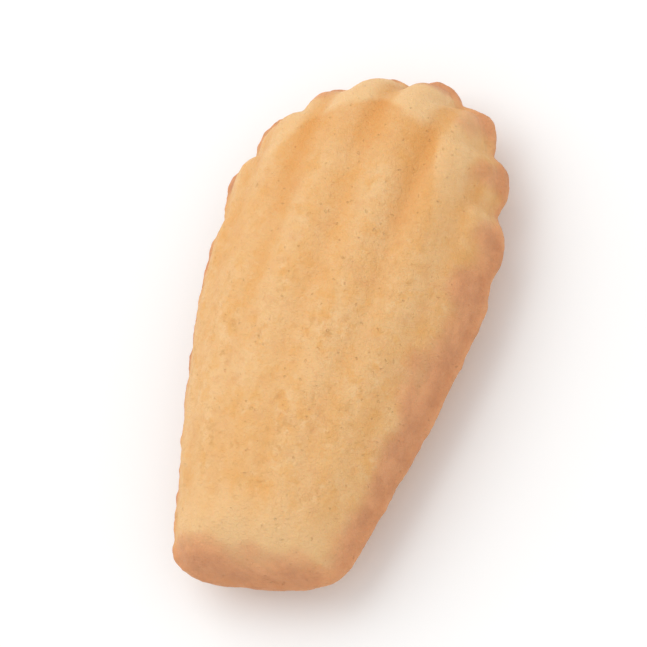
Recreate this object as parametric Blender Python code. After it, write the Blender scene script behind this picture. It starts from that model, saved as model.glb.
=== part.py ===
"""One madeleine: a small shell-shaped sponge cake, one closed solid.

Metres, +Z up. The ribbed shell side faces up, the broad scalloped end
points along +Y and the narrow blunt end along -Y. The cake rests on a
small flat spot of the baked hump underneath; the origin is the centre of
the bottom of its bounding box.
"""
import math

import bmesh
import bpy
from mathutils import Vector

# Driving dimensions
LENGTH = 0.088            # along Y, tip of the narrow end to the broad rim
WIDTH = 0.048             # along X, across the broad end
HEIGHT = 0.024            # floor to the crown of the shell
RIM_HEIGHT = 0.0092       # floor to the rim, which parts shell and hump

# Broad end: scallops on an arc that is a little longer than a round one
BROAD_RADIUS = WIDTH / 2
ARC_STRETCH = 1.18        # the arc's reach along Y over its radius across
ARC_Y = LENGTH / 2 - ARC_STRETCH * BROAD_RADIUS
SCALLOPS = 8
SCALLOP_PITCH = math.radians(24.0)
FAN_HALF = SCALLOPS * SCALLOP_PITCH / 2
NOTCH_DEPTH = 0.0022      # inward depth of the notch between two scallops
NOTCH_SHARE_MIDDLE = 0.8  # the middle notch is shallower than the outer ones
NOTCH_SOFTNESS = 0.1      # rounding of the notch's bottom
NOTCH_FULLNESS = 0.8      # below 1 makes the scallops fuller
NOTCH_FADE_START = 0.78   # share of the fan from which the notches get shallower
NOTCH_FADE = 0.7          # share of its depth that the last notch has lost

# Sides and narrow end
TAPER_SLOPE = 0.285       # half width lost per metre, far from the arc
TAPER_EASE = 0.028        # length over which the taper sets in
TIP_ROUNDING = 0.0078     # length of the rounded corners of the narrow end
TIP_POWER = 3.3           # above 2 gives a blunt, squared-off end
SIDE_NOTCH_RUN = 0.005    # the last notch dies out over this length

# Rim lip and shell
LIP_BROAD = 0.0013        # lip outside the shell at the broad end
LIP_NARROW = 0.0008       # the same at the narrow end
LIP_RISE = 0.0011         # the lip's top above the rim line
LIP_FILLET = 0.12         # inward share over which the lip curves into the flank
LIP_CHANGE = (-0.02, 0.03)  # Y between which the lip widens
EDGE_INSET = 0.0005       # rounding of the lip's outer edge
EDGE_RISE = 0.7           # height of that rounding, as a share of the lip's rise
CROWN_HEIGHT = HEIGHT - RIM_HEIGHT
CROWN_Y = 0.009           # where the crown is highest
CROWN_FALL_NARROW = 0.26  # share of the crown lost at the spine's narrow end
CROWN_FALL_BROAD = 0.06   # the same at its broad end
CROWN_CURVE_NARROW = 1.8  # how suddenly it falls towards the narrow end
DOME_INNER_POWER = 2.2    # crowned top
DOME_OUTER_POWER = 1.75   # flank of the long sides and the broad end
DOME_TIP_POWER = 1.35     # gentler flank of the narrow end
DOME_TIP_RUN = (-0.26, -0.46)  # shares of the length between which that sets in
DOME_FOOT = 0.35          # share of the dome's height left at the lip's fillet
NOTCH_REACH = 0.45        # inward share at which the rim's scallops have died out

# Ribs
RIB_DEPTH = 0.00115       # groove depth just behind the broad rim
RIB_FADE_START = 0.034    # Y at which the grooves are deepest
RIB_DEPTH_NARROW = 0.22   # share of the depth left at the narrow end
RIB_SOFTNESS = 0.26       # rounding of the groove's bottom
RIB_ONSET = 0.12          # inward share over which a groove deepens from the lip
RIB_END = (-0.043, -0.03)  # Y between which the grooves run out

# Hump underneath
HUMP_Y = 0.002            # centre of the hump, under the centre of mass
HUMP_LENGTH = 0.021       # how far the hump spreads along Y
HUMP_BREADTH = 0.0125     # and along X
HUMP_STEEPNESS = 0.7      # how steeply its flanks fall
HUMP_ONSET = 0.5          # inward share at which it has its full height
SKIRT_SHARE = 0.64        # share of the depth reached by the plain skirt
SKIRT_CURVE = 0.8         # below 1 makes the skirt fuller
FLAT_DEPTH = 0.0009       # how much of the hump's peak is pressed flat

# Unevenness of a real bake
BEND = -0.001             # sideways bow of the long axis
LOBE_SWELL = 0.0008       # how much the scallops stand out or fall short
SWELL_PACE = 3.8          # how fast that changes round the fan
SWELL_PHASE = -0.22       # puts the fullest scallop right of the middle
SWELL_RUN = 0.010         # the swelling dies out along the sides over this length
TIP_SKEW = 0.16           # slope by which the narrow end is out of square
TIP_SKEW_START = -0.012   # Y at which that slant sets in
LEAST_REACH = 0.0001      # keeps the fan angle defined behind the arc's centre

# Spine that the rings close on, and mesh steps
SPINE_NARROW_Y = -0.0305
SPINE_BROAD_Y = 0.0255
SPINE_LEAD = 0.25         # how far past the arc's centre the ring lines start to spread
SCALLOP_STEPS = 7
SIDE_STEPS = 38
SHELL_RINGS = 15
HUMP_RINGS = 10
RING_CROWDING = 1.45      # above 1 crowds the rings towards the rim
MERGE_DISTANCE = 0.00001


def smooth_step(low, high, value):
    """Rise from 0 to 1 between low and high with level ends."""
    share = min(max((value - low) / (high - low), 0.0), 1.0)
    return share * share * (3.0 - 2.0 * share)


def soft_wave(angle, softness):
    """0 in a groove, 1 on the back of a rib, for a fan angle in radians."""
    wave = math.sin(math.pi * angle / SCALLOP_PITCH)
    return (math.hypot(wave, softness) - softness) / (math.hypot(1.0, softness) - softness)


def arc_point(angle, radius):
    """Point at a fan angle from +Y and a radius from the arc's centre."""
    return Vector((radius * math.sin(angle), ARC_Y + ARC_STRETCH * radius * math.cos(angle)))


def notch_depth(angle):
    """How far the scalloped rim lies inside the plain arc."""
    share = min(abs(angle) / FAN_HALF, 1.0)
    off_centre = NOTCH_SHARE_MIDDLE + (1.0 - NOTCH_SHARE_MIDDLE) * share
    dying_out = 1.0 - NOTCH_FADE * smooth_step(NOTCH_FADE_START, 1.0, share)
    fullness = soft_wave(angle, NOTCH_SOFTNESS) ** NOTCH_FULLNESS
    return NOTCH_DEPTH * off_centre * dying_out * (1.0 - fullness)


def broad_point(angle):
    """Point of the scalloped rim at a fan angle from +Y."""
    return arc_point(angle, BROAD_RADIUS - notch_depth(angle))


def body_half_width(y):
    """Half width of the cake at y, without scallops or rounded tip."""
    run = max(ARC_Y - y, 0.0)
    return BROAD_RADIUS - TAPER_SLOPE * (math.hypot(run, TAPER_EASE) - TAPER_EASE)


def plain_side_point(y):
    """Point of the right-hand rim at y, with the rounded tip and no notch."""
    tip = max((TIP_ROUNDING - LENGTH / 2 - y) / TIP_ROUNDING, 0.0)
    rounding = max(1.0 - tip ** TIP_POWER, 0.0) ** (1.0 / TIP_POWER)
    return Vector((body_half_width(y) * rounding, y))


def side_point(share):
    """Point of the right-hand rim, from the last notch (0) to the tip (1)."""
    start = broad_point(FAN_HALF)
    y = start.y - (start.y + LENGTH / 2) * (1.0 - (1.0 - share) ** 3)
    recess = plain_side_point(start.y).x - start.x
    healing = 1.0 - smooth_step(0.0, SIDE_NOTCH_RUN, start.y - y)
    return plain_side_point(y) - Vector((recess * healing, 0.0))


def evenly_spaced(curve, steps, samples=600):
    """Points on a curve of 0..1, equally far apart along its length."""
    points = [curve(i / samples) for i in range(samples + 1)]
    travelled = [0.0]
    for before, after in zip(points, points[1:]):
        travelled.append(travelled[-1] + (after - before).length)
    spaced = []
    index = 0
    for step in range(steps + 1):
        target = travelled[-1] * step / steps
        while index < samples - 1 and travelled[index + 1] < target:
            index += 1
        gap = travelled[index + 1] - travelled[index]
        part = (target - travelled[index]) / gap if gap > 0.0 else 0.0
        spaced.append(points[index].lerp(points[index + 1], part))
    return spaced


def half_outline():
    """Right half of the rim from the middle of the broad end to the tip.

    Returns two equally long lists: the scalloped rim, and the plain rim
    without its notches, which the inner rings follow.
    """
    fan_steps = SCALLOPS * SCALLOP_STEPS // 2
    angles = [FAN_HALF * i / fan_steps for i in range(fan_steps)]
    side = evenly_spaced(side_point, SIDE_STEPS)
    scalloped = [broad_point(angle) for angle in angles] + side
    plain = [arc_point(angle, BROAD_RADIUS) for angle in angles]
    plain += [plain_side_point(point.y) for point in side]
    return scalloped, plain


def spine_point(point):
    """Point of the cake's long axis that the ring line of a rim point ends at."""
    narrow = -LENGTH / 2 + TIP_ROUNDING
    broad = ARC_Y + SPINE_LEAD * BROAD_RADIUS
    share = smooth_step(0.0, 1.0, (broad - point.y) / (broad - narrow))
    return Vector((0.0, SPINE_BROAD_Y + share * (SPINE_NARROW_Y - SPINE_BROAD_Y)))


def lip_width(y):
    """Width of the flat lip at y."""
    return LIP_NARROW + (LIP_BROAD - LIP_NARROW) * smooth_step(*LIP_CHANGE, y)


def crown_height(y):
    """Height of the shell over the rim along the long axis."""
    if y < CROWN_Y:
        run = (CROWN_Y - y) / (CROWN_Y - SPINE_NARROW_Y)
        return CROWN_HEIGHT * (1.0 - CROWN_FALL_NARROW * run ** CROWN_CURVE_NARROW)
    run = (y - CROWN_Y) / (SPINE_BROAD_Y - CROWN_Y)
    return CROWN_HEIGHT * (1.0 - CROWN_FALL_BROAD * run ** 2)


def groove(x, y, inward):
    """Depth of the groove pattern at a plan point, inward 0..1 from the lip."""
    sideways = min(max(x / body_half_width(y), -1.0), 1.0)
    along = smooth_step(SPINE_NARROW_Y, RIB_FADE_START, y)
    depth = RIB_DEPTH * (RIB_DEPTH_NARROW + (1.0 - RIB_DEPTH_NARROW) * along)
    depth *= smooth_step(0.0, RIB_ONSET, inward) * smooth_step(*RIB_END, y)
    return depth * (1.0 - soft_wave(math.asin(sideways), RIB_SOFTNESS))


def shell_point(rim, plain, inward):
    """Point of the ribbed side; inward runs from the lip (0) to the spine (1)."""
    spine = spine_point(plain)
    outer = rim.lerp(plain, smooth_step(0.0, NOTCH_REACH, inward))
    reach = (spine - outer).length
    lip = lip_width(plain.y)
    plan = outer.lerp(spine, (lip + inward * (reach - lip)) / reach)
    tip = smooth_step(*DOME_TIP_RUN, plain.y / LENGTH)
    power = DOME_OUTER_POWER + tip * (DOME_TIP_POWER - DOME_OUTER_POWER)
    dome = (1.0 - (1.0 - inward) ** DOME_INNER_POWER) ** (1.0 / power)
    dome *= DOME_FOOT + (1.0 - DOME_FOOT) * smooth_step(-LIP_FILLET, LIP_FILLET, inward)
    rise = LIP_RISE + (crown_height(spine.y) - LIP_RISE) * dome
    return Vector((plan.x, plan.y, RIM_HEIGHT + rise - groove(plan.x, plan.y, inward)))


def lip_edge_point(rim, plain):
    """Point of the lip's rounded outer edge."""
    spine = spine_point(plain)
    plan = rim.lerp(spine, EDGE_INSET / (spine - rim).length)
    return Vector((plan.x, plan.y, RIM_HEIGHT + EDGE_RISE * LIP_RISE))


def hump_point(rim, plain, inward):
    """Point of the baked underside; inward runs from the rim (0) to the spine (1)."""
    outer = rim.lerp(plain, smooth_step(0.0, NOTCH_REACH, inward))
    plan = outer.lerp(spine_point(plain), inward)
    skirt = (1.0 - (1.0 - inward) ** 2) ** SKIRT_CURVE
    spread = (plan.x / HUMP_BREADTH) ** 2 + ((plan.y - HUMP_Y) / HUMP_LENGTH) ** 2
    hump = math.exp(-HUMP_STEEPNESS * spread) * smooth_step(0.0, HUMP_ONSET, inward)
    share = SKIRT_SHARE * skirt + (1.0 - SKIRT_SHARE) * hump
    depth = LIP_RISE + (RIM_HEIGHT + FLAT_DEPTH - LIP_RISE) * share
    return Vector((plan.x, plan.y, max(RIM_HEIGHT - depth, 0.0)))


def add_ring(bm, ring, places):
    """Extrude the open ring of edges once and move the new ring to places."""
    count = len(ring)
    edges = [bm.edges.get((ring[i], ring[(i + 1) % count])) for i in range(count)]
    before = {vert: i for i, vert in enumerate(ring)}
    new = bmesh.ops.extrude_edge_only(bm, edges=edges)["geom"]
    fresh = {item for item in new if isinstance(item, bmesh.types.BMVert)}
    following = [None] * count
    for vert in fresh:
        for edge in vert.link_edges:
            other = edge.other_vert(vert)
            if other in before:
                following[before[other]] = vert
    for vert, place in zip(following, places):
        vert.co = place
    return following


def ring_share(index, rings):
    """Inward share of a ring, crowded towards the rim."""
    return (index / rings) ** RING_CROWDING


def whole_outline():
    """Scalloped and plain rim points, paired, all the way round."""
    pairs = list(zip(*half_outline()))
    mirrored = [tuple(Vector((-p.x, p.y)) for p in pair) for pair in pairs[-2:0:-1]]
    return pairs + mirrored


def bake_unevenly(bm):
    """Bow the long axis a little, swell single scallops and slant the narrow end."""
    for vert in bm.verts:
        x, y, _ = vert.co
        beyond = max((y - ARC_Y) / ARC_STRETCH, LEAST_REACH)
        angle = math.atan2(x, beyond)
        outward = math.hypot(x, beyond) / BROAD_RADIUS
        swell = LOBE_SWELL * outward ** 3 * math.sin(SWELL_PACE * angle + SWELL_PHASE)
        swell *= smooth_step(-SWELL_RUN, 0.0, y - ARC_Y)
        vert.co.x += BEND * math.cos(math.pi * y / LENGTH) + swell * math.sin(angle)
        slant = TIP_SKEW * x * smooth_step(TIP_SKEW_START, -LENGTH / 2, y)
        vert.co.y += swell * math.cos(angle) + slant


def fit_to_size(bm):
    """Stretch the finished mesh to the driving dimensions, over the origin."""
    wanted = ((-WIDTH / 2, WIDTH), (-LENGTH / 2, LENGTH), (0.0, HEIGHT))
    for axis, (start, extent) in enumerate(wanted):
        places = [vert.co[axis] for vert in bm.verts]
        low = min(places)
        stretch = extent / (max(places) - low)
        for vert in bm.verts:
            vert.co[axis] = start + (vert.co[axis] - low) * stretch


def build_madeleine():
    """Mesh of the whole cake: rim, shell rings above, hump rings below."""
    outline = whole_outline()
    bm = bmesh.new()
    circle = bmesh.ops.create_circle(bm, segments=len(outline), radius=BROAD_RADIUS)
    rim = circle["verts"]
    for vert, (point, _) in zip(rim, outline):
        vert.co = (point.x, point.y, RIM_HEIGHT)

    ring = add_ring(bm, rim, [lip_edge_point(*pair) for pair in outline])
    for index in range(SHELL_RINGS + 1):
        share = ring_share(index, SHELL_RINGS)
        ring = add_ring(bm, ring, [shell_point(*pair, share) for pair in outline])

    ring = rim
    for index in range(1, HUMP_RINGS + 1):
        share = ring_share(index, HUMP_RINGS)
        ring = add_ring(bm, ring, [hump_point(*pair, share) for pair in outline])

    bmesh.ops.remove_doubles(bm, verts=bm.verts, dist=MERGE_DISTANCE)
    bmesh.ops.dissolve_degenerate(bm, edges=bm.edges, dist=MERGE_DISTANCE)
    bmesh.ops.recalc_face_normals(bm, faces=bm.faces)
    bake_unevenly(bm)
    fit_to_size(bm)
    mesh = bpy.data.meshes.new("madeleine")
    bm.to_mesh(mesh)
    bm.free()
    return mesh


def baked_sponge():
    """Golden baked sponge."""
    material = bpy.data.materials.new("baked_sponge")
    material.use_nodes = True
    shader = material.node_tree.nodes["Principled BSDF"]
    shader.inputs["Base Color"].default_value = (0.785, 0.445, 0.18, 1.0)
    shader.inputs["Roughness"].default_value = 0.62
    shader.inputs["Metallic"].default_value = 0.0
    return material


def main():
    """Clear the scene's objects and build the cake."""
    for item in list(bpy.data.objects):
        bpy.data.objects.remove(item, do_unlink=True)
    mesh = build_madeleine()
    mesh.materials.append(baked_sponge())
    cake = bpy.data.objects.new("madeleine", mesh)
    bpy.context.scene.collection.objects.link(cake)


if __name__ == "__main__":
    main()
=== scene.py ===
"""Looks of one madeleine: a small shell-shaped sponge cake, lying shell side up on its baked hump.

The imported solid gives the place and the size. The cake's surface is worked out again from the same
named sizes, on an even and much finer mesh, so that ribs, grooves, crumb and pores are real shape.
"""
import logging
import math
import random
from bisect import bisect_right
from dataclasses import dataclass
from enum import Enum

import bmesh
import bpy
from mathutils import Matrix, Quaternion, Vector, kdtree, noise


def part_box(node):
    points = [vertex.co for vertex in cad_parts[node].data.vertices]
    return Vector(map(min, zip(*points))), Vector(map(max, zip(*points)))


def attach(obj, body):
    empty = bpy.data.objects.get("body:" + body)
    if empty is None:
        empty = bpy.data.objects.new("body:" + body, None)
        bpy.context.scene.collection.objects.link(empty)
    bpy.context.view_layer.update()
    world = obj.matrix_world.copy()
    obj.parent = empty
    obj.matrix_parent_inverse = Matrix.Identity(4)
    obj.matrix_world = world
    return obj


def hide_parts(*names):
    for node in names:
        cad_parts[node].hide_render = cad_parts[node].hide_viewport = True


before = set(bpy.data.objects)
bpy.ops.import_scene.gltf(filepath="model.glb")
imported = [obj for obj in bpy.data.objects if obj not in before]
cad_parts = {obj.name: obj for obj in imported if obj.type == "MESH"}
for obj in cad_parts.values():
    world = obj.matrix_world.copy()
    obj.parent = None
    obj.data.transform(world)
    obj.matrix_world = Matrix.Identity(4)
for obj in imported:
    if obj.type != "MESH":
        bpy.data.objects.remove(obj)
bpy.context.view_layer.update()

NODE = "madeleine"
BODY = "root"
MM = 0.001

Colour = tuple[float, float, float]
Span = tuple[float, float]
Socket = bpy.types.NodeSocket

logging.basicConfig(level=logging.INFO, format="%(message)s")
log = logging.getLogger("madeleine")


class Zone(Enum):
    """Named masks that the mesh carries and the crust's colours read."""

    TOAST_AND_SHADE = "toast_and_shade"
    CREAM = "cream"
    GROOVE = "groove"
    BAND = "band"
    HUMP = "hump"
    # Pores, which the crust's colour darkens as painted shade.
    PIT = "pit"
    PALE_PATCH = "pale_patch"


def clamp(value: float, low: float = 0.0, high: float = 1.0) -> float:
    """Value held between low and high."""
    return min(max(value, low), high)


def smooth_step(low: float, high: float, value: float) -> float:
    """Rise from 0 to 1 between low and high with level ends.

    Args:
        low: Where the rise starts; it may be above high for a fall.
        high: Where the rise ends.
        value: Where to read it.

    Returns:
        A share between 0 and 1.
    """
    share = clamp((value - low) / (high - low))
    return share * share * (3.0 - 2.0 * share)


def mix(first: float, second: float, share: float) -> float:
    """Value that lies share of the way from first to second."""
    return first + (second - first) * share


def add_object(name: str, data: bpy.types.ID) -> bpy.types.Object:
    """Put a new object into the scene."""
    added = bpy.data.objects.new(name, data)
    bpy.context.scene.collection.objects.link(added)
    return added


def mesh_from(bm: bmesh.types.BMesh, name: str) -> bpy.types.Mesh:
    """Turn a finished bmesh into a named mesh and free it."""
    mesh = bpy.data.meshes.new(name)
    bm.to_mesh(mesh)
    bm.free()
    return mesh


def hills(place: Vector, size: float, seed: float, octaves: int = 1) -> float:
    """Smooth unevenness between about -1 and 1.

    Args:
        place: Point on the cake, in metres.
        size: Width of one hill, in metres.
        seed: Moves the pattern to another stretch of noise.
        octaves: Layers, each twice as fine and half as strong.

    Returns:
        The height of the pattern there.
    """
    point = place / size + Vector((seed, seed * 1.7, -seed))
    if octaves == 1:
        return noise.noise(point)
    return noise.fractal(point, 1.0, 2.0, octaves)


@dataclass(frozen=True)
class ShellForm:
    """Form of the cake, from the same driving sizes as its solid.

    Length runs along Y with the broad scalloped end at +Y, and the ribbed side faces +Z.
    """

    length: float
    width: float
    height: float
    rim_height: float = 9.2 * MM
    scallops: int = 8
    scallop_pitch: float = math.radians(24.0)
    notch_depth: float = 2.2 * MM
    notch_share_middle: float = 0.8
    notch_softness: float = 0.1
    notch_fullness: float = 0.8
    notch_fade_start: float = 0.78
    notch_fade: float = 0.7
    arc_stretch: float = 1.18
    taper_slope: float = 0.285
    taper_ease: float = 28.0 * MM
    tip_rounding: float = 7.8 * MM
    tip_power: float = 3.3
    side_notch_run: float = 5.0 * MM
    lip_broad: float = 1.3 * MM
    lip_narrow: float = 0.8 * MM
    lip_rise: float = 1.1 * MM
    lip_fillet: float = 0.12
    lip_change: Span = (-20.0 * MM, 30.0 * MM)
    edge_inset: float = 0.5 * MM
    edge_rise: float = 0.7
    crown_y: float = 9.0 * MM
    crown_fall_narrow: float = 0.26
    crown_fall_broad: float = 0.06
    crown_curve_narrow: float = 1.8
    dome_inner_power: float = 2.2
    dome_outer_power: float = 1.75
    dome_tip_power: float = 1.35
    dome_tip_run: Span = (-0.26, -0.46)
    dome_foot: float = 0.35
    notch_reach: float = 0.45
    rib_depth: float = 1.15 * MM
    rib_fade_start: float = 34.0 * MM
    rib_depth_narrow: float = 0.22
    rib_softness: float = 0.26
    rib_softness_gain: float = 2.6
    rib_onset: float = 0.12
    rib_end: Span = (-43.0 * MM, -30.0 * MM)
    rib_unevenness: float = 0.4
    rib_wander: float = 0.7 * MM
    hump_y: float = 2.0 * MM
    hump_length: float = 21.0 * MM
    hump_breadth: float = 12.5 * MM
    hump_steepness: float = 0.7
    hump_onset: float = 0.5
    skirt_share: float = 0.64
    skirt_curve: float = 0.8
    flat_depth: float = 0.9 * MM
    bend: float = -1.0 * MM
    lobe_swell: float = 0.8 * MM
    swell_pace: float = 3.8
    swell_phase: float = -0.22
    swell_run: float = 10.0 * MM
    tip_skew: float = 0.16
    tip_skew_start: float = -12.0 * MM
    least_reach: float = 0.1 * MM
    spine_narrow_y: float = -30.5 * MM
    spine_broad_y: float = 25.5 * MM
    spine_lead: float = 0.25
    fan_share: float = 0.345

    @property
    def broad_radius(self) -> float:
        """Radius of the arc that the scallops stand on."""
        return self.width / 2

    @property
    def arc_y(self) -> float:
        """Centre of that arc along the cake."""
        return self.length / 2 - self.arc_stretch * self.broad_radius

    @property
    def fan_half(self) -> float:
        """Angle from the middle of the broad end to the last notch."""
        return self.scallops * self.scallop_pitch / 2

    @property
    def crown_height(self) -> float:
        """Height of the crown over the rim."""
        return self.height - self.rim_height

    def soft_wave(self, angle: float, softness: float) -> float:
        """0 in a groove and 1 on the back of a rib, at a fan angle."""
        wave = math.sin(math.pi * angle / self.scallop_pitch)
        return (math.hypot(wave, softness) - softness) / (math.hypot(1.0, softness) - softness)

    def arc_point(self, angle: float, radius: float) -> Vector:
        """Plan point at a fan angle from +Y and a radius from the arc's centre."""
        return Vector((radius * math.sin(angle), self.arc_y + self.arc_stretch * radius * math.cos(angle)))

    def broad_point(self, angle: float) -> Vector:
        """Plan point of the scalloped rim at a fan angle."""
        share = clamp(abs(angle) / self.fan_half)
        off_centre = mix(self.notch_share_middle, 1.0, share)
        dying_out = 1.0 - self.notch_fade * smooth_step(self.notch_fade_start, 1.0, share)
        fullness = self.soft_wave(angle, self.notch_softness) ** self.notch_fullness
        depth = self.notch_depth * off_centre * dying_out * (1.0 - fullness)
        return self.arc_point(angle, self.broad_radius - depth)

    def half_width(self, y: float) -> float:
        """Half width of the cake at y, without scallops or rounded tip."""
        run = max(self.arc_y - y, 0.0)
        return self.broad_radius - self.taper_slope * (math.hypot(run, self.taper_ease) - self.taper_ease)

    def plain_side_point(self, y: float) -> Vector:
        """Plan point of the right-hand rim at y, with the rounded tip and no notch."""
        tip = max((self.tip_rounding - self.length / 2 - y) / self.tip_rounding, 0.0)
        rounding = max(1.0 - tip ** self.tip_power, 0.0) ** (1.0 / self.tip_power)
        return Vector((self.half_width(y) * rounding, y))

    def side_point(self, share: float) -> Vector:
        """Plan point of the right-hand rim, from the last notch (0) to the tip (1)."""
        start = self.broad_point(self.fan_half)
        y = start.y - (start.y + self.length / 2) * (1.0 - (1.0 - share) ** 3)
        recess = self.plain_side_point(start.y).x - start.x
        healing = 1.0 - smooth_step(0.0, self.side_notch_run, start.y - y)
        return self.plain_side_point(y) - Vector((recess * healing, 0.0))

    def side_table(self, samples: int = 900) -> list[tuple[float, Vector]]:
        """Side of the rim as points with the share of its length travelled so far."""
        points = [self.side_point(i / samples) for i in range(samples + 1)]
        travelled = [0.0]
        for before, after in zip(points, points[1:]):
            travelled.append(travelled[-1] + (after - before).length)
        return [(way / travelled[-1], point) for way, point in zip(travelled, points)]

    def spine_point(self, plain: Vector) -> Vector:
        """Point of the long axis that faces a point of the plain rim."""
        narrow = self.tip_rounding - self.length / 2
        broad = self.arc_y + self.spine_lead * self.broad_radius
        share = smooth_step(0.0, 1.0, (broad - plain.y) / (broad - narrow))
        return Vector((0.0, mix(self.spine_broad_y, self.spine_narrow_y, share)))

    def lip_width(self, y: float) -> float:
        """Width of the lip at y."""
        return mix(self.lip_narrow, self.lip_broad, smooth_step(*self.lip_change, y))

    def crown_at(self, y: float) -> float:
        """Height of the shell over the rim along the long axis."""
        if y < self.crown_y:
            run = (self.crown_y - y) / (self.crown_y - self.spine_narrow_y)
            return self.crown_height * (1.0 - self.crown_fall_narrow * run ** self.crown_curve_narrow)
        run = (y - self.crown_y) / (self.spine_broad_y - self.crown_y)
        return self.crown_height * (1.0 - self.crown_fall_broad * run ** 2)

    def fan_angle(self, x: float, y: float) -> float:
        """Fan angle of the rib line through a plan point, with the ribs a little out of true."""
        astray = self.rib_wander * hills(Vector((x * 0.6, y * 0.6, 0.0)), 9 * MM, 60.4)
        inner = 1.0 - smooth_step(0.6, 1.0, abs(x) / self.half_width(y))
        return math.asin(clamp((x + astray * inner) / self.half_width(y), -1.0, 1.0))

    def groove(self, x: float, y: float, inward: float) -> float:
        """Depth of the groove pattern at a plan point, inward 0..1 from the lip."""
        along = smooth_step(self.spine_narrow_y, self.rib_fade_start, y)
        depth = self.rib_depth * mix(self.rib_depth_narrow, 1.0, along)
        depth *= smooth_step(0.0, self.rib_onset, inward) * smooth_step(*self.rib_end, y)
        depth *= 1.0 + self.rib_unevenness * hills(Vector((x, y * 0.6, 0.0)), 10 * MM, 71.9)
        softness = self.rib_softness * mix(self.rib_softness_gain, 1.0, smooth_step(-20 * MM, 16 * MM, y))
        return depth * (1.0 - self.soft_wave(self.fan_angle(x, y), softness))

    def edge_distance(self, x: float, y: float) -> float:
        """Distance from a plan point to the plain rim."""
        if y > self.arc_y:
            share = math.hypot(x, (y - self.arc_y) / self.arc_stretch) / self.broad_radius
            return math.hypot(x, y - self.arc_y) * (1.0 / share - 1.0)
        side = self.half_width(y) - abs(x)
        tip = y + self.length / 2
        return side if tip > 2 * self.tip_rounding else min(side, tip)

    def shell_point(self, rim: Vector, plain: Vector, inward: float) -> Vector:
        """Point of the ribbed side.

        Args:
            rim: Plan point of the scalloped rim.
            plain: The same point on the rim without its notches.
            inward: From the outer edge (0) to the spine (1).

        Returns:
            The point in the cake's frame.
        """
        spine = self.spine_point(plain)
        reach = (spine - plain).length
        lip = self.lip_width(plain.y)
        way = inward * reach
        if way < self.edge_inset:
            turn = math.acos(clamp(1.0 - way / self.edge_inset))
            plan = rim.lerp(spine, way / reach)
            rise = self.edge_rise * self.lip_rise * math.sin(turn)
            return Vector((plan.x, plan.y, self.rim_height + rise))
        if way < lip:
            plan = rim.lerp(spine, way / reach)
            across = (way - self.edge_inset) / (lip - self.edge_inset)
            rise = self.lip_rise * mix(self.edge_rise, 1.0, across)
            return Vector((plan.x, plan.y, self.rim_height + rise))
        share = (way - lip) / (reach - lip)
        outer = rim.lerp(plain, smooth_step(0.0, self.notch_reach, share))
        plan = outer.lerp(spine, inward)
        tip = smooth_step(*self.dome_tip_run, plain.y / self.length)
        power = mix(self.dome_outer_power, self.dome_tip_power, tip)
        dome = (1.0 - (1.0 - share) ** self.dome_inner_power) ** (1.0 / power)
        dome *= mix(self.dome_foot, 1.0, smooth_step(-self.lip_fillet, self.lip_fillet, share))
        rise = self.lip_rise + (self.crown_at(spine.y) - self.lip_rise) * dome
        depth = self.groove(plan.x, plan.y, share)
        return Vector((plan.x, plan.y, self.rim_height + rise - depth))

    def hump_point(self, rim: Vector, plain: Vector, inward: float) -> Vector:
        """Point of the baked underside, inward from the rim (0) to the spine (1)."""
        outer = rim.lerp(plain, smooth_step(0.0, self.notch_reach, inward))
        plan = outer.lerp(self.spine_point(plain), inward)
        skirt = (1.0 - (1.0 - inward) ** 2) ** self.skirt_curve
        spread = (plan.x / self.hump_breadth) ** 2 + ((plan.y - self.hump_y) / self.hump_length) ** 2
        hump = math.exp(-self.hump_steepness * spread) * smooth_step(0.0, self.hump_onset, inward)
        share = mix(hump, skirt, self.skirt_share)
        if inward == 0.0:
            return Vector((plan.x, plan.y, self.rim_height))
        depth = self.lip_rise + (self.rim_height + self.flat_depth - self.lip_rise) * share
        return Vector((plan.x, plan.y, max(self.rim_height - depth, 0.0)))

    def bowed(self, point: Vector) -> Vector:
        """Point after the slight bow, swelling and slanted tip of an uneven bake."""
        beyond = max((point.y - self.arc_y) / self.arc_stretch, self.least_reach)
        angle = math.atan2(point.x, beyond)
        outward = math.hypot(point.x, beyond) / self.broad_radius
        swell = self.lobe_swell * outward ** 3 * math.sin(self.swell_pace * angle + self.swell_phase)
        swell *= smooth_step(-self.swell_run, 0.0, point.y - self.arc_y)
        bow = self.bend * math.cos(math.pi * point.y / self.length)
        slant = self.tip_skew * point.x * smooth_step(self.tip_skew_start, -self.length / 2, point.y)
        return point + Vector((bow + swell * math.sin(angle), swell * math.cos(angle) + slant, 0.0))


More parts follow.
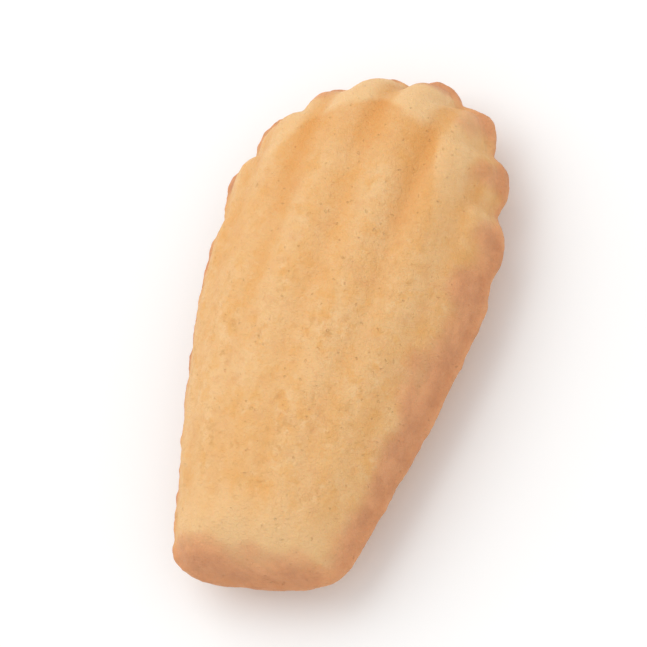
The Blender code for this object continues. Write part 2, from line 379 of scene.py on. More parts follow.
@dataclass(frozen=True)
class BakeMap:
    """Where the crust is pale, honey-coloured or toasted, and where painted light is laid into it: the rib
    caps are partly a painted highlight, and the grooves, the band, the right side's browning and the
    narrow end are partly painted shade.

    A span names the two places between which something sets in, or fades when the first is larger.
    """

    form: ShellForm
    skin_span: Span = (-0.2 * MM, 0.9 * MM)
    groove_run: Span = (-20.0 * MM, 32.0 * MM)
    groove_start: Span = (1.5 * MM, 5.0 * MM)
    cap_reach: float = 9.4 * MM
    cap_notch: float = 1.4 * MM
    cap_wander: float = 0.8 * MM
    cap_start: Span = (1.0 * MM, 3.0 * MM)
    cap_fade: Span = (0.9 * MM, -0.8 * MM)
    cap_across: Span = (6.0 * MM, 21.0 * MM)
    cap_back: Span = (0.08, 0.72)
    cap_run: Span = (16.0 * MM, 27.0 * MM)
    band_start: Span = (-0.4 * MM, 0.9 * MM)
    band_fade: Span = (12.0 * MM, 1.5 * MM)
    band_across: Span = (3.0 * MM, 18.0 * MM)
    band_run: Span = (8.0 * MM, 18.0 * MM)
    side_span: Span = (-20.0 * MM, 21.0 * MM)
    blotch_left: Span = (0.3, 1.0)
    # The right side's browning reaches further and never fades: partly browning, partly painted shade on
    # the flank turned away from the light.
    blotch_and_shade_right: Span = (0.8, 1.1)
    toast_left: float = 1.5 * MM
    toast_and_shade_right: float = 7.2 * MM
    toast_fan: float = 5.6 * MM
    # The narrow end's browning is partly painted shade.
    tip_toast_and_shade_left: float = 7.8 * MM
    tip_toast_and_shade_right: float = 5.2 * MM
    tip_across: Span = (-12.0 * MM, 9.0 * MM)
    pale_reach: float = 8.0 * MM

    def zones_at(self, place: Vector, normal: Vector) -> dict[Zone, float]:
        """Share of each colour zone at a point of the smooth cake.

        Args:
            place: The point.
            normal: The surface's outward direction there.

        Returns:
            A share between 0 and 1 for each zone.
        """
        form = self.form
        shell = smooth_step(*self.skin_span, place.z - form.rim_height)
        valley = 1.0 - form.soft_wave(form.fan_angle(place.x, place.y), 0.25)
        edge = form.edge_distance(place.x, place.y)
        cap_edge = self.cap_edge(place, valley)
        depth = mix(0.4, 1.0, smooth_step(*self.groove_run, place.y))
        return {
            # Browning of the rim, the narrow end and the underside; on the right side and at the narrow
            # end it is partly painted shade.
            Zone.TOAST_AND_SHADE: mix(self.under_toast(place, edge), self.rim_toast_and_shade(place, edge), shell),
            # Pale rib caps, partly a painted highlight where the rib ends face the light, and the pale
            # band above the narrow end.
            Zone.CREAM: max(self.cap(place, edge, cap_edge, valley), self.pale_end(place)) * shell,
            # Darker grooves: partly the crust's colour, partly painted shade in the recesses.
            Zone.GROOVE: valley * depth * shell * smooth_step(*self.groove_start, edge),
            # Band behind the caps, darkest in the grooves: partly crust colour, partly painted shade.
            Zone.BAND: self.band(place, edge, cap_edge) * mix(0.32, 1.0, valley ** 1.5) * shell,
            Zone.HUMP: 1.0 - shell,
            Zone.PIT: 0.0,
            Zone.PALE_PATCH: self.pale_patch(place, valley) * shell * clamp(normal.z),
        }

    def cap_edge(self, place: Vector, valley: float) -> float:
        """Distance from the rim at which the pale cap of a rib ends."""
        return self.cap_reach - self.cap_notch * valley ** 2 + self.cap_wander * hills(place, 6 * MM, 7.7)

    def cap(self, place: Vector, edge: float, cap_edge: float, valley: float) -> float:
        """Pale caps of the ribs just inside the scallops of the broad end: partly paler crust, partly a
        painted highlight where the rib ends face the light.
        """
        middle = mix(1.0, 0.35, smooth_step(*self.cap_across, abs(place.x)))
        inside = smooth_step(*self.cap_start, edge) * smooth_step(*self.cap_fade, edge - cap_edge)
        back = smooth_step(*self.cap_back, 1.0 - valley)
        return inside * middle * back * smooth_step(*self.cap_run, place.y)

    def band(self, place: Vector, edge: float, cap_edge: float) -> float:
        """Honey-coloured band behind the caps: partly a deeper crust colour, partly painted shade where
        the band lies lower than the caps.
        """
        behind = edge - cap_edge
        middle = mix(1.0, 0.3, smooth_step(*self.band_across, abs(place.x)))
        band = smooth_step(*self.band_start, behind) * smooth_step(*self.band_fade, behind)
        return band * middle * smooth_step(*self.band_run, place.y)

    def blotch(self, place: Vector, side: float) -> float:
        """Uneven strength of the browning; it never dies out on the right side, where the browning is
        partly painted shade.
        """
        patch = smooth_step(-0.28, 0.28, hills(place, 11 * MM, 27.4, 2))
        return mix(mix(*self.blotch_left, patch), mix(*self.blotch_and_shade_right, patch), side)

    def rim_toast_and_shade(self, place: Vector, edge: float) -> float:
        """Browning along the rim, patchy on the scallops' tips and strongest at the right side and the
        tip, where it is partly painted shade.
        """
        form = self.form
        x, y, z = place
        wander = hills(place, 6 * MM, 3.1, 2)
        side = smooth_step(*self.side_span, x)
        fan = smooth_step(form.arc_y - 4 * MM, form.arc_y + 4 * MM, y)
        beyond = max((y - form.arc_y) / form.arc_stretch, form.least_reach)
        bump = mix(1.0, form.soft_wave(math.atan2(x, beyond), 0.2), fan)
        blotch = self.blotch(place, side)
        plain = mix(self.toast_left, self.toast_and_shade_right, side)
        reach = mix(plain, max(self.toast_fan, 0.85 * plain), fan) * blotch * mix(0.4, 1.1, bump)
        reach *= mix(0.75, 1.0, smooth_step(-20 * MM, 20 * MM, y)) * (1.0 + mix(0.5, 0.32, side) * wander)
        rim = smooth_step(reach, 0.1 * reach, edge) * mix(0.5, 1.0, bump)
        low = smooth_step(2.4 * MM, 0.2 * MM, z - form.rim_height) * 0.8 * blotch * mix(0.55, 1.0, bump)
        return clamp(max(rim * mix(0.8, 1.0, blotch), low, self.tip_toast_and_shade(place, wander)))

    def under_toast(self, place: Vector, edge: float) -> float:
        """Browning of the underside: a ring inside the rim, and cloudy patches."""
        ring = smooth_step(8 * MM + 5 * MM * hills(place, 9 * MM, 18.8, 2), 0.5 * MM, edge)
        cloud = smooth_step(0.05, 0.6, hills(place, 7 * MM, 44.6, 3))
        return clamp(0.75 * ring + 0.34 * cloud)

    def tip_reach(self, x: float) -> float:
        """How far the browning of the narrow end, partly painted shade, goes up, further on the left."""
        return mix(self.tip_toast_and_shade_left, self.tip_toast_and_shade_right, smooth_step(*self.tip_across, x))

    def tip_toast_and_shade(self, place: Vector, wander: float) -> float:
        """Browning of the narrow end, partly painted shade that darkens towards the end."""
        share = (place.y + self.form.length / 2 + 1.6 * MM * wander) / self.tip_reach(place.x)
        return smooth_step(1.05, 0.6, share) * mix(0.55, 1.05, smooth_step(0.7, 0.1, share))

    def pale_end(self, place: Vector) -> float:
        """Pale band just above the narrow end's browning and painted shade."""
        beyond = place.y + self.form.length / 2 - self.tip_reach(place.x)
        fade = smooth_step(self.pale_reach + 2.5 * MM * hills(place, 7 * MM, 12.6), 0.0, beyond)
        return 0.8 * fade * smooth_step(2 * MM, 6 * MM, place.z - self.form.rim_height)

    def pale_patch(self, place: Vector, valley: float) -> float:
        """Patches where the crust is paler and the fine crumb shows."""
        patch = hills(Vector((place.x * 1.5, place.y * 0.75, place.z)), 5.5 * MM, 21.3, 3)
        lower = smooth_step(22 * MM, 0.0, place.y)
        return smooth_step(-0.1, 0.3, patch) * (1.0 - 0.5 * valley) * lower


@dataclass(frozen=True)
class Relief:
    """How strongly each kind of unevenness lifts or lowers the crust."""

    swell: float = 0.24 * MM
    swell_size: float = 15.0 * MM
    dimple: float = 0.11 * MM
    dimple_size: float = 4.5 * MM
    crumb: float = 0.06 * MM
    crumb_size: float = 1.5 * MM
    grain: float = 0.04 * MM
    grain_size: float = 0.62 * MM
    cap_pad: float = 0.26 * MM
    band_sink: float = 0.14 * MM
    wear: float = 0.05 * MM
    ragged: float = 0.4 * MM
    ragged_size: float = 3.2 * MM
    wrinkle: float = 0.22 * MM

    def lift_at(self, place: Vector, zones: dict[Zone, float]) -> float:
        """How far the unevenness lifts a point along the surface's direction."""
        lift = self.swell * hills(place, self.swell_size, 1.3)
        lift += self.dimple * hills(place, self.dimple_size, 5.9, 2)
        lift += self.crumb * hills(place, self.crumb_size, 9.2, 3)
        lift += self.grain * mix(0.65, 1.9, zones[Zone.PALE_PATCH]) * hills(place, self.grain_size, 14.5, 2)
        lift += self.cap_pad * zones[Zone.CREAM] * smooth_step(15 * MM, 30 * MM, place.y)
        lift -= self.band_sink * zones[Zone.BAND]
        lift -= self.wear * zones[Zone.PALE_PATCH]
        folds = 1.0 - abs(hills(Vector((place.x * 1.2, place.y * 0.7, place.z)), 6 * MM, 40.2, 2))
        lift += self.wrinkle * (folds - 0.8) * zones[Zone.HUMP]
        return lift * smooth_step(0.0, 0.5 * MM, place.z)

    def rim_lift(self, place: Vector) -> float:
        """Ragged in and out of the rim's edge."""
        return self.ragged * (hills(place, self.ragged_size, 33.7, 3) + 0.4 * hills(place, 9 * MM, 35.2))


@dataclass(frozen=True)
class Pit:
    """One open pore in the crust."""

    place: Vector
    radius: float
    depth: float


@dataclass(frozen=True)
class PoreField:
    """Where pores and short creases open: most in the middle and lower part of the ribbed side."""

    form: ShellForm
    tries: int = 6500
    smallest: float = 0.2 * MM
    spread: float = 0.26 * MM
    likeliest: float = 0.11
    under_chance: float = 0.05
    depths: Span = (0.15, 0.36)
    row_lengths: tuple[int, ...] = (1, 2, 2, 3, 5)
    seed: int = 8

    def chance(self, place: Vector) -> float:
        """How likely a pore opens at a point."""
        over = place.z - self.form.rim_height
        if place.z < 1.0 * MM or abs(over) < 1.5 * MM:
            return 0.0
        if over < 0.0:
            return self.under_chance
        central = smooth_step(20 * MM, 6 * MM, abs(place.x)) * smooth_step(-41 * MM, -32 * MM, place.y)
        lower = mix(1.0, 0.15, smooth_step(-8 * MM, 22 * MM, place.y))
        patch = smooth_step(-0.15, 0.4, hills(place, 8 * MM, 50.3, 2))
        return self.likeliest * central * lower * patch

    def scatter(self, bm: bmesh.types.BMesh) -> list[Pit]:
        """Choose the pores on a mesh.

        Args:
            bm: The smooth cake.

        Returns:
            The pores, each a short curved row of one to five overlapping round pits.
        """
        draw = random.Random(self.seed)
        verts = list(bm.verts)
        pits: list[Pit] = []
        for _ in range(self.tries):
            vert = verts[draw.randrange(len(verts))]
            if draw.random() > self.chance(vert.co):
                continue
            place = vert.co.copy()
            radius = self.smallest + self.spread * draw.random() ** 2.6
            heading = vert.normal.orthogonal().normalized()
            heading.rotate(Quaternion(vert.normal, draw.uniform(0.0, math.tau)))
            for _ in range(draw.choice(self.row_lengths)):
                pits.append(Pit(place.copy(), radius, radius * draw.uniform(*self.depths)))
                heading.rotate(Quaternion(vert.normal, draw.gauss(0.0, 0.5)))
                place += heading * radius * 1.05
                radius = max(radius * draw.uniform(0.75, 1.0), 0.85 * self.smallest)
        return pits


class CakeSurface:
    """Fine mesh of the cake with its relief and colour zones."""

    def __init__(self, form: ShellForm, relief: Relief, voxel: float = 0.375 * MM) -> None:
        """Take the form, the relief and the mesh's step."""
        self.form = form
        self.relief = relief
        self.bake = BakeMap(form)
        self.voxel = voxel
        self.smoothings = 3
        self.table = form.side_table()
        self.masks: dict[Zone, list[float]] = {zone: [] for zone in Zone}

    def rim_at(self, turn: float) -> tuple[Vector, Vector]:
        """Scalloped and plain rim points at a turn from the broad end.

        Args:
            turn: 0 in the middle of the broad end, 1 or -1 at the tip.

        Returns:
            The two plan points.
        """
        form = self.form
        share = abs(turn)
        if share < form.fan_share:
            angle = form.fan_half * share / form.fan_share
            rim = form.broad_point(angle)
            plain = form.arc_point(angle, form.broad_radius)
        else:
            way = (share - form.fan_share) / (1.0 - form.fan_share)
            rim = self.side_at(way)
            plain = form.plain_side_point(rim.y)
        if turn < 0.0:
            return Vector((-rim.x, rim.y)), Vector((-plain.x, plain.y))
        return rim, plain

    def side_at(self, way: float) -> Vector:
        """Point of the side rim at a share of its length."""
        high = bisect_right(self.table, way, lo=1, hi=len(self.table) - 1, key=lambda row: row[0])
        (before, start), (after, end) = self.table[high - 1], self.table[high]
        return start.lerp(end, clamp((way - before) / (after - before)))

    def placed(self, direction: Vector, highest: float) -> Vector:
        """Point of the cake for a direction out of the middle of a sphere.

        Args:
            direction: Unit vector.
            highest: Share of the way to the poles at which the spine is reached.

        Returns:
            The point.
        """
        turn = math.atan2(direction.x, direction.y) / math.pi
        lift = math.asin(clamp(direction.z, -1.0, 1.0)) / (math.pi / 2)
        rim, plain = self.rim_at(turn)
        inward = clamp(abs(lift) / highest) ** 1.5
        if lift >= 0.0:
            return self.form.shell_point(rim, plain, inward)
        return self.form.hump_point(rim, plain, inward)

    def rough_mesh(self, turns: int = 464, rings: int = 180) -> bpy.types.Mesh:
        """Sphere without its poles, shaped into the cake and closed along the spine.

        Args:
            turns: Steps round the rim, a multiple of four so that left and right meet.
            rings: Steps from pole to pole.

        Returns:
            The closed mesh.
        """
        bm = bmesh.new()
        bmesh.ops.create_uvsphere(bm, u_segments=turns, v_segments=rings, radius=1.0)
        poles = [vert for vert in bm.verts if abs(vert.co.z) > 1.0 - 1e-6]
        bmesh.ops.delete(bm, geom=poles, context="VERTS")
        for vert in bm.verts:
            vert.co = self.placed(vert.co.normalized(), 1.0 - 2.0 / rings)
        bmesh.ops.remove_doubles(bm, verts=bm.verts, dist=0.005 * MM)
        bmesh.ops.recalc_face_normals(bm, faces=bm.faces)
        return mesh_from(bm, "rough_cake")

    def even_mesh(self) -> bpy.types.Mesh:
        """The same surface on evenly spaced points, all quads."""
        rough = add_object("rough_cake", self.rough_mesh())
        remesh = rough.modifiers.new("even_out", "REMESH")
        remesh.mode = "VOXEL"
        remesh.voxel_size = self.voxel
        depsgraph = bpy.context.evaluated_depsgraph_get()
        mesh = bpy.data.meshes.new_from_object(rough.evaluated_get(depsgraph))
        bpy.data.objects.remove(rough, do_unlink=True)
        return mesh

    def build(self, target: tuple[Vector, Vector]) -> bpy.types.Object:
        """Model the whole cake.

        Args:
            target: Lowest and highest corner that the finished cake reaches.

        Returns:
            The finished object, not yet dressed.
        """
        mesh = self.even_mesh()
        bm = bmesh.new()
        bm.from_mesh(mesh)
        for _ in range(self.smoothings):
            bmesh.ops.smooth_vert(
                bm, verts=bm.verts, factor=0.5, use_axis_x=True, use_axis_y=True, use_axis_z=True)
        bm.normal_update()
        pits = PoreField(self.form).scatter(bm)
        self.refine_near(bm, pits)
        bm.normal_update()
        self.raise_relief(bm)
        bm.normal_update()
        self.press_pits(bm, pits)
        self.finish_shape(bm, target)
        for face in bm.faces:
            face.smooth = True
        bm.to_mesh(mesh)
        bm.free()
        mesh.name = "madeleine_crust"
        for zone, values in self.masks.items():
            attribute = mesh.attributes.new(zone.value, "FLOAT", "POINT")
            attribute.data.foreach_set("value", values)
        return add_object("madeleine_crust", mesh)

    def raise_relief(self, bm: bmesh.types.BMesh) -> None:
        """Lift and lower each vertex along its normal and note its zones."""
        for vert in bm.verts:
            place = vert.co.copy()
            zones = self.bake.zones_at(place, vert.normal)
            near_rim = math.exp(-((place.z - self.form.rim_height - 0.4 * MM) / (1.5 * MM)) ** 2)
            lift = self.relief.lift_at(place, zones) + near_rim * self.relief.rim_lift(place)
            vert.co += vert.normal * lift
            for zone in Zone:
                self.masks[zone].append(zones[zone])

    def refine_near(self, bm: bmesh.types.BMesh, pits: list[Pit]) -> None:
        """Split the faces round each pore, so that its wall has enough points."""
        tree = self.tree_of(bm)
        near: set[int] = set()
        for pit in pits:
            reach = 1.6 * pit.radius + 0.2 * self.voxel
            near.update(index for _, index, _ in tree.find_range(pit.place, reach))
        bm.verts.ensure_lookup_table()
        faces = {face for index in near for face in bm.verts[index].link_faces}
        edges = {edge for face in faces for edge in face.edges}
        bmesh.ops.subdivide_edges(bm, edges=list(edges), cuts=1, use_grid_fill=True)

    @staticmethod
    def tree_of(bm: bmesh.types.BMesh) -> kdtree.KDTree:
        """Search tree over the mesh's points."""
        tree = kdtree.KDTree(len(bm.verts))
        for index, vert in enumerate(bm.verts):
            tree.insert(vert.co, index)
        tree.balance()
        return tree

    def press_pits(self, bm: bmesh.types.BMesh, pits: list[Pit]) -> None:
        """Sink each pore into the crust and mark it for the painted shade inside it."""
        tree = self.tree_of(bm)
        bm.verts.ensure_lookup_table()
        marks = self.masks[Zone.PIT]
        for pit in pits:
            for _, index, gap in tree.find_range(pit.place, pit.radius * 1.9):
                vert = bm.verts[index]
                share = gap / (pit.radius * (1.0 + 0.45 * hills(vert.co, 0.3 * MM, 77.1)))
                vert.co -= vert.normal * pit.depth * math.exp(-1.5 * share ** 3)
                vert.co += vert.normal * 0.08 * pit.depth * math.exp(-9.0 * (share - 1.35) ** 2)
                marks[index] = max(marks[index], math.exp(-1.6 * share ** 2.5))
        log.info("pores: %d", len(pits))

    def finish_shape(self, bm: bmesh.types.BMesh, target: tuple[Vector, Vector]) -> None:
        """Bow the cake and bring it to exactly the solid's box."""
        for vert in bm.verts:
            vert.co = self.form.bowed(vert.co)
        low, high = target
        for axis in range(3):
            places = [vert.co[axis] for vert in bm.verts]
            start = min(places)
            stretch = (high[axis] - low[axis]) / (max(places) - start)
            for vert in bm.verts:
                vert.co[axis] = low[axis] + (vert.co[axis] - start) * stretch


@dataclass(frozen=True)
class Spots:
    """One kind of mark on the crust, shown where its noise passes from low to high."""

    noise: Socket
    low: float
    high: float
    amount: float
    colour: Colour


class NodeSheet:
    """Short hand for building a node tree."""

    def __init__(self, tree: bpy.types.NodeTree) -> None:
        """Work on the given tree."""
        self.tree = tree

    def add(
        self, kind: str, inputs: dict[str | int, object] | None = None, **settings: object
    ) -> bpy.types.Node:
        """Add a node.

        Args:
            kind: The node's type name.
            inputs: Sockets to link or values to set, by name or number.
            **settings: The node's own properties.

        Returns:
            The node.
        """
        node = self.tree.nodes.new(kind)
        for name, value in settings.items():
            setattr(node, name, value)
        self.feed(node, inputs or {})
        return node

    def group(self, tree: bpy.types.NodeTree, inputs: dict[str, object]) -> bpy.types.Node:
        """Place a shared group with its own values."""
        node = self.add("ShaderNodeGroup", node_tree=tree)
        self.feed(node, inputs)
        return node

    def feed(self, node: bpy.types.Node, inputs: dict[str | int, object]) -> None:
        """Link or set a node's inputs, by name or number."""
        for key, value in inputs.items():
            if isinstance(value, Socket):
                self.tree.links.new(value, node.inputs[key])
            else:
                node.inputs[key].default_value = value

    def mask(self, zone: Zone) -> Socket:
        """One of the mesh's zones."""
        return self.add("ShaderNodeAttribute", attribute_name=zone.value).outputs["Fac"]

    def math(self, operation: str, first: object, second: object = 0.5) -> Socket:
        """Result of a two-value sum, clamped nowhere."""
        return self.add("ShaderNodeMath", {0: first, 1: second}, operation=operation).outputs[0]

    def blend(self, share: object, first: object, second: object) -> Socket:
        """Mix of two colours."""
        return self.add("ShaderNodeMix", {0: share, 6: first, 7: second}, data_type="RGBA").outputs[2]

    def layer(self, base: object, mask: object, amount: float, colour: Colour) -> Socket:
        """Lay a colour over base where a mask is set.

        Args:
            base: Colour underneath.
            mask: Where the layer shows, 0 to 1.
            amount: How much it hides where the mask is full.
            colour: The layer's colour.

        Returns:
            The resulting colour.
        """
        return self.blend(self.math("MULTIPLY", mask, amount), base, (*colour, 1.0))

    def spotted(self, base: object, spots: list[Spots], share: object = 1.0) -> Socket:
        """Lay several kinds of marks over base.

        Args:
            base: Colour underneath.
            spots: The marks, lowest first.
            share: How strongly they show, 0 to 1.

        Returns:
            The resulting colour.
        """
        for kind in spots:
            shown = self.math("MULTIPLY", self.window(kind.noise, kind.low, kind.high), share)
            base = self.layer(base, shown, kind.amount, kind.colour)
        return base

    def window(self, value: object, low: float, high: float) -> Socket:
        """Smooth rise from 0 to 1 as value passes from low to high."""
        node = self.add(
            "ShaderNodeMapRange",
            {"Value": value, "From Min": low, "From Max": high},
            interpolation_type="SMOOTHSTEP",
        )
        return node.outputs["Result"]


class GroupLibrary:
    """Shader node groups shared by the crust's layers."""

    def __init__(self) -> None:
        """Build each group once."""
        self.mottle = self.build_mottle()
        self.pinholes = self.build_pinholes()

    @staticmethod
    def new_group(
        name: str, inputs: dict[str, float | None], outputs: list[str]
    ) -> tuple[bpy.types.NodeTree, NodeSheet, bpy.types.Node, bpy.types.Node]:
        """Start a group with named sockets.

        Args:
            name: The group's name.
            inputs: Input names with their default, or None for a vector.
            outputs: Names of value outputs.

        Returns:
            The group, its node sheet, its input node and its output node.
        """
        group = bpy.data.node_groups.new(name, "ShaderNodeTree")
        for label, default in inputs.items():
            kind = "NodeSocketVector" if default is None else "NodeSocketFloat"
            socket = group.interface.new_socket(label, in_out="INPUT", socket_type=kind)
            if default is not None:
                socket.default_value = default
        for label in outputs:
            group.interface.new_socket(label, in_out="OUTPUT", socket_type="NodeSocketFloat")
        sheet = NodeSheet(group)
        return group, sheet, sheet.add("NodeGroupInput"), sheet.add("NodeGroupOutput")

    def build_mottle(self) -> bpy.types.NodeTree:
        """Cloudy unevenness of a given size: a soft layer and a fine one."""
        group, sheet, source, result = self.new_group(
            "mottle", {"Vector": None, "Scale": 200.0, "Roughness": 0.6}, ["Soft", "Fine"])
        for label, fineness, detail, distortion in (("Soft", 1.0, 3.0, 0.0), ("Fine", 3.7, 4.0, 0.3)):
            scale = sheet.math("MULTIPLY", source.outputs["Scale"], fineness)
            cloud = sheet.add(
                "ShaderNodeTexNoise",
                {"Vector": source.outputs["Vector"], "Scale": scale, "Detail": detail,
                 "Roughness": source.outputs["Roughness"], "Distortion": distortion})
            sheet.feed(result, {label: cloud.outputs["Fac"]})
        return group

    def build_pinholes(self) -> bpy.types.NodeTree:
        """Tiny open cells of the crumb: 1 inside a hole, 0 between."""
        group, sheet, source, result = self.new_group(
            "pinholes", {"Vector": None, "Scale": 900.0, "Radius": 0.22, "Share": 0.5}, ["Hole", "Pad"])
        warp = sheet.add(
            "ShaderNodeTexNoise",
            {"Vector": source.outputs["Vector"], "Scale": source.outputs["Scale"], "Detail": 1.0})
        shift = sheet.add(
            "ShaderNodeVectorMath", {0: warp.outputs["Color"], "Scale": 0.0012}, operation="SCALE")
        moved = sheet.add(
            "ShaderNodeVectorMath", {0: source.outputs["Vector"], 1: shift.outputs[0]}, operation="ADD")
        cells = sheet.add(
            "ShaderNodeTexVoronoi", {"Vector": moved.outputs[0], "Scale": source.outputs["Scale"]})
        unequal = sheet.math("ADD", cells.outputs["Color"], 0.35)
        size = sheet.math("MULTIPLY", source.outputs["Radius"], unequal)
        gap = sheet.math("SUBTRACT", size, cells.outputs["Distance"])
        hole = sheet.window(gap, 0.0, 0.08)
        chosen = sheet.math("LESS_THAN", cells.outputs["Color"], source.outputs["Share"])
        pad = sheet.math("SUBTRACT", 1.0, cells.outputs["Distance"])
        sheet.feed(result, {"Hole": sheet.math("MULTIPLY", hole, chosen), "Pad": pad})
        return group


class CrustSheet(NodeSheet):
    """Node sheet of the crust's material, with the shared textures at hand."""

    def __init__(self, tree: bpy.types.NodeTree, groups: GroupLibrary) -> None:
        """Work on the given tree, in the cake's own coordinates."""
        super().__init__(tree)
        self.groups = groups
        self.place = self.add("ShaderNodeTexCoord").outputs["Object"]

    def mottle(self, scale: float, roughness: float = 0.6) -> bpy.types.Node:
        """Cloudy unevenness of a given scale."""
        inputs = {"Vector": self.place, "Scale": scale, "Roughness": roughness}
        return self.group(self.groups.mottle, inputs)

    def pinholes(self, scale: float) -> bpy.types.Node:
        """Tiny open cells of a given scale."""
        return self.group(self.groups.pinholes, {"Vector": self.place, "Scale": scale})


@dataclass(frozen=True)
class GoldenCrust:
    """Finish of the cake: pale gold sponge skin, honey behind the caps, toasted at the rim, with a painted
    highlight on the rib caps and painted shade in the grooves, the band, the pores, the right side's
    browning and the narrow end.
    """

    gold: Colour = (0.775, 0.442, 0.18)
    pale_gold: Colour = (0.79, 0.483, 0.22)
    cream: Colour = (0.82, 0.53, 0.262)
    ochre: Colour = (0.765, 0.395, 0.125)
    # Honey for the grooves and the band: partly crust colour, partly painted shade.
    honey: Colour = (0.705, 0.31, 0.08)
    tan: Colour = (0.735, 0.40, 0.175)
    # Browning colours, partly painted shade on the right side and at the narrow end.
    toast_and_shade: Colour = (0.735, 0.335, 0.158)
    dark_toast_and_shade: Colour = (0.575, 0.24, 0.115)
    oven_gold: Colour = (0.715, 0.36, 0.122)
    speck: Colour = (0.635, 0.335, 0.115)
    # Painted shade inside the pores.
    pit: Colour = (0.635, 0.33, 0.112)
    pale_patch: Colour = (0.785, 0.465, 0.205)
    roughness: float = 0.64
    subsurface: float = 0.12

    def material(self, groups: GroupLibrary) -> bpy.types.Material:
        """Build the crust's material.

        Args:
            groups: The shared node groups.

        Returns:
            The material.
        """
        material = bpy.data.materials.new("golden_sponge_crust")
        material.use_nodes = True
        sheet = CrustSheet(material.node_tree, groups)
        grain = {"Height": self.height(sheet), "Strength": 0.9, "Distance": 0.22 * MM}
        bump = sheet.add("ShaderNodeBump", grain)
        uneven = sheet.mottle(420.0)
        spread = sheet.add(
            "ShaderNodeMapRange",
            {"Value": uneven.outputs["Fine"], "From Min": 0.3, "From Max": 0.7,
             "To Min": self.roughness - 0.08, "To Max": self.roughness + 0.1})
        sheet.feed(material.node_tree.nodes["Principled BSDF"], {
            "Base Color": self.colour(sheet),
            "Roughness": spread.outputs["Result"],
            "Normal": bump.outputs["Normal"],
            "Specular IOR Level": 0.25,
            "Subsurface Weight": self.subsurface,
            "Subsurface Radius": (1.0, 0.45, 0.2),
            "Subsurface Scale": 2.0 * MM,
        })
        return material

    def colour(self, sheet: CrustSheet) -> Socket:
        """Colour of the crust from its zones and mottling, with the painted highlight and painted shade
        that some zones carry.

        Args:
            sheet: The material's node sheet.

        Returns:
            The colour.
        """
        clouds = sheet.mottle(95.0)
        streaks = sheet.mottle(130.0)
        lengthwise = sheet.add("ShaderNodeMapping", {"Vector": sheet.place, "Scale": (1.0, 0.3, 1.0)})
        sheet.feed(streaks, {"Vector": lengthwise.outputs["Vector"]})
        patches = sheet.mottle(260.0, roughness=0.7)
        blobs = sheet.mottle(390.0, roughness=0.4)
        crumb = sheet.mottle(600.0)
        holes = sheet.pinholes(750.0)
        cloudy = sheet.window(clouds.outputs["Soft"], 0.38, 0.62)
        base = sheet.blend(cloudy, (*self.gold, 1.0), (*self.pale_gold, 1.0))
        base = sheet.spotted(base, [
            Spots(streaks.outputs["Soft"], 0.5, 0.68, 0.6, self.cream),
            Spots(streaks.outputs["Soft"], 0.5, 0.34, 0.55, self.ochre),
            Spots(patches.outputs["Soft"], 0.52, 0.66, 0.55, self.tan),
            Spots(patches.outputs["Soft"], 0.48, 0.36, 0.5, self.ochre),
        ])
        # Paler patches, strongest on upward-facing faces.
        base = sheet.layer(base, sheet.mask(Zone.PALE_PATCH), 0.4, self.pale_patch)
        grainy = sheet.math("ADD", sheet.math("MULTIPLY", sheet.mask(Zone.PALE_PATCH), 0.7), 0.3)
        base = sheet.spotted(base, [
            Spots(crumb.outputs["Soft"], 0.53, 0.63, 0.75, self.cream),
            Spots(crumb.outputs["Soft"], 0.45, 0.35, 0.6, self.speck),
            Spots(patches.outputs["Fine"], 0.46, 0.36, 0.5, self.speck),
            Spots(blobs.outputs["Soft"], 0.47, 0.35, 0.7, self.ochre),
            Spots(blobs.outputs["Soft"], 0.55, 0.67, 0.45, self.pale_gold),
        ], grainy)
        for zone, amount, tint in (
            (Zone.HUMP, 0.75, self.oven_gold),
            # Grooves and band: honey, partly painted shade.
            (Zone.GROOVE, 0.3, self.honey),
            (Zone.BAND, 0.85, self.honey),
            # Cream caps: partly paler crust, partly a painted highlight.
            (Zone.CREAM, 0.85, self.cream),
        ):
            base = sheet.layer(base, sheet.mask(zone), amount, tint)
        # Browning, partly painted shade on the right side and at the narrow end.
        base = self.browned_and_shaded(sheet, base, clouds.outputs["Fine"])
        base = sheet.spotted(base, [Spots(crumb.outputs["Fine"], 0.42, 0.3, 0.3, self.speck)], grainy)
        # Painted shade in the shader's pinholes and the mesh's pores.
        base = sheet.layer(base, holes.outputs["Hole"], 0.15, self.pit)
        return sheet.layer(base, sheet.mask(Zone.PIT), 0.42, self.pit)

    def browned_and_shaded(self, sheet: NodeSheet, base: Socket, cloud: Socket) -> Socket:
        """Lay the browning over the crust, darkest where it is fullest; on the right side and at the
        narrow end this browning is partly painted shade.

        Args:
            sheet: The material's node sheet.
            base: Colour underneath.
            cloud: Noise that makes the browning uneven.

        Returns:
            The resulting colour.
        """
        uneven = sheet.window(cloud, 0.32, 0.62)
        brown_and_shade = sheet.blend(uneven, (*self.dark_toast_and_shade, 1.0), (*self.toast_and_shade, 1.0))
        darkest = sheet.window(sheet.mask(Zone.TOAST_AND_SHADE), 0.7, 1.0)
        brown_and_shade = sheet.layer(brown_and_shade, darkest, 0.55, self.dark_toast_and_shade)
        patchy = sheet.math("ADD", sheet.mask(Zone.TOAST_AND_SHADE), sheet.math("MULTIPLY", uneven, 0.15))
        share = sheet.math("MULTIPLY", sheet.window(patchy, 0.05, 1.0), 0.88)
        return sheet.blend(share, base, brown_and_shade)

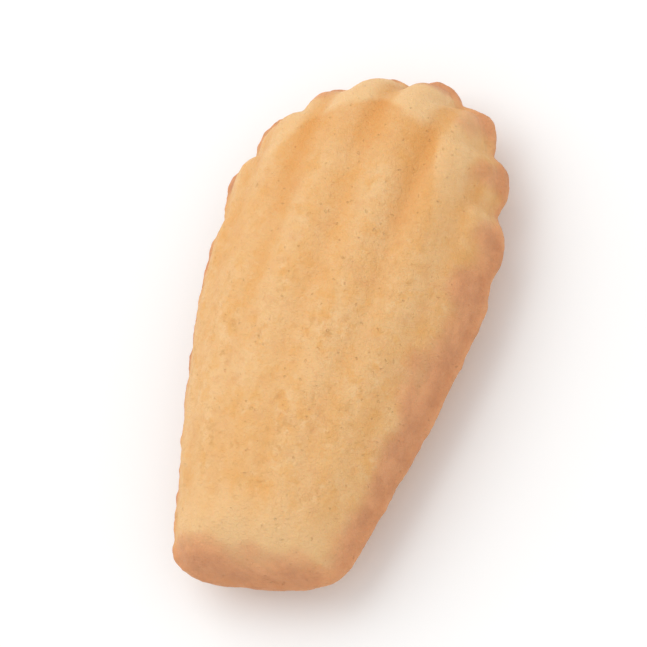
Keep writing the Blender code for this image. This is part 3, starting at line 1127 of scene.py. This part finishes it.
    @staticmethod
    def height(sheet: CrustSheet) -> Socket:
        """Height of the finest grain, below what the mesh carries."""
        grain = sheet.mottle(1100.0)
        holes = sheet.pinholes(750.0)
        cells = sheet.pinholes(1700.0)
        finer = sheet.math("MULTIPLY", grain.outputs["Fine"], 0.5)
        grains = sheet.math("ADD", grain.outputs["Soft"], finer)
        padded = sheet.math("ADD", grains, sheet.math("MULTIPLY", cells.outputs["Pad"], 0.6))
        return sheet.math("SUBTRACT", padded, sheet.math("MULTIPLY", holes.outputs["Hole"], 0.8))


@dataclass
class Madeleine:
    """The cake: its form, relief and finish."""

    form: ShellForm
    relief: Relief
    crust: GoldenCrust

    def build(self, groups: GroupLibrary) -> bpy.types.Object:
        """Model the cake, dress it and put it in the solid's place."""
        cake = CakeSurface(self.form, self.relief).build(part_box(NODE))
        cake.data.materials.append(self.crust.material(groups))
        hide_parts(NODE)
        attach(cake, BODY)
        triangles = sum(len(polygon.vertices) - 2 for polygon in cake.data.polygons)
        log.info("%s: %d triangles", cake.name, triangles)
        return cake


@dataclass(frozen=True)
class Studio:
    """Pale floor, soft light and the camera over the cake."""

    centre: Vector
    lean: float = math.radians(18.0)
    roll: float = math.radians(21.0)
    tilt: float = math.radians(14.0)
    lens: float = 180.0
    distance: float = 0.508
    key_power: float = 2.3
    fill_power: float = 0.5
    surroundings: float = 0.79
    lamp_side: float = 0.7
    floor_reach: float = 3.0

    def floor(self) -> None:
        """Wide pale floor."""
        bm = bmesh.new()
        bmesh.ops.create_grid(bm, x_segments=1, y_segments=1, size=self.floor_reach)
        floor = add_object("floor", mesh_from(bm, "floor"))
        material = bpy.data.materials.new("pale_floor")
        material.use_nodes = True
        NodeSheet(material.node_tree).feed(material.node_tree.nodes["Principled BSDF"], {
            "Base Color": (0.92, 0.92, 0.92, 1.0),
            "Roughness": 0.8,
            "Specular IOR Level": 0.2,
        })
        floor.data.materials.append(material)

    def light(self, name: str, place: Vector, power: float, tint: Colour) -> None:
        """Add a square soft light that looks at the cake.

        Args:
            name: The light's name.
            place: Where it hangs.
            power: Its strength in watts.
            tint: Its colour.
        """
        data = bpy.data.lights.new(name, "AREA")
        data.size = self.lamp_side
        data.energy = power
        data.color = tint
        turn = (self.centre - place).to_track_quat("-Z", "Y").to_matrix().to_4x4()
        add_object(name, data).matrix_world = Matrix.Translation(place) @ turn

    def lights(self) -> None:
        """Broad key from the upper left of the view, weak fill, bright surroundings."""
        left = Vector((-math.cos(self.lean), -math.sin(self.lean), 0.0))
        ahead = Vector((-math.sin(self.lean), math.cos(self.lean), 0.0))
        key = self.centre + left * 0.28 + ahead * 0.22 + Vector((0.0, 0.0, 0.58))
        fill = self.centre - left * 0.5 - ahead * 0.1 + Vector((0.0, 0.0, 0.5))
        self.light("key", key, self.key_power, (1.0, 0.99, 0.97))
        self.light("fill", fill, self.fill_power, (1.0, 0.99, 0.98))
        world = bpy.data.worlds.new("studio")
        world.use_nodes = True
        NodeSheet(world.node_tree).feed(world.node_tree.nodes["Background"], {
            "Color": (1.0, 1.0, 1.0, 1.0),
            "Strength": self.surroundings,
        })
        bpy.context.scene.world = world

    def camera(self) -> None:
        """Camera looking down on the ribbed side, a little from the cake's right and narrow end."""
        data = bpy.data.cameras.new("camera")
        data.lens = self.lens
        data.sensor_width = 36.0
        camera = add_object("camera", data)
        side = Vector((math.cos(self.roll), 0.0, -math.sin(self.roll)))
        above = Vector((math.sin(self.roll), 0.0, math.cos(self.roll)))
        back = above * math.cos(self.tilt) - Vector((0.0, math.sin(self.tilt), 0.0))
        along = back.cross(side)
        right = side * math.cos(self.lean) + along * math.sin(self.lean)
        up = back.cross(right)
        turn = Matrix((right, up, back)).transposed().to_4x4()
        camera.matrix_world = Matrix.Translation(self.centre + back * self.distance) @ turn
        bpy.context.scene.camera = camera

    def build(self) -> None:
        """Set up the whole studio."""
        self.floor()
        self.lights()
        self.camera()
        bpy.context.scene.view_settings.view_transform = "Standard"
        log.info("studio ready")


def main() -> None:
    """Build the cake and its studio."""
    low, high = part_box(NODE)
    size = high - low
    form = ShellForm(length=size.y, width=size.x, height=size.z)
    Madeleine(form, Relief(), GoldenCrust()).build(GroupLibrary())
    Studio(centre=(low + high) / 2).build()


if __name__ == "__main__":
    main()
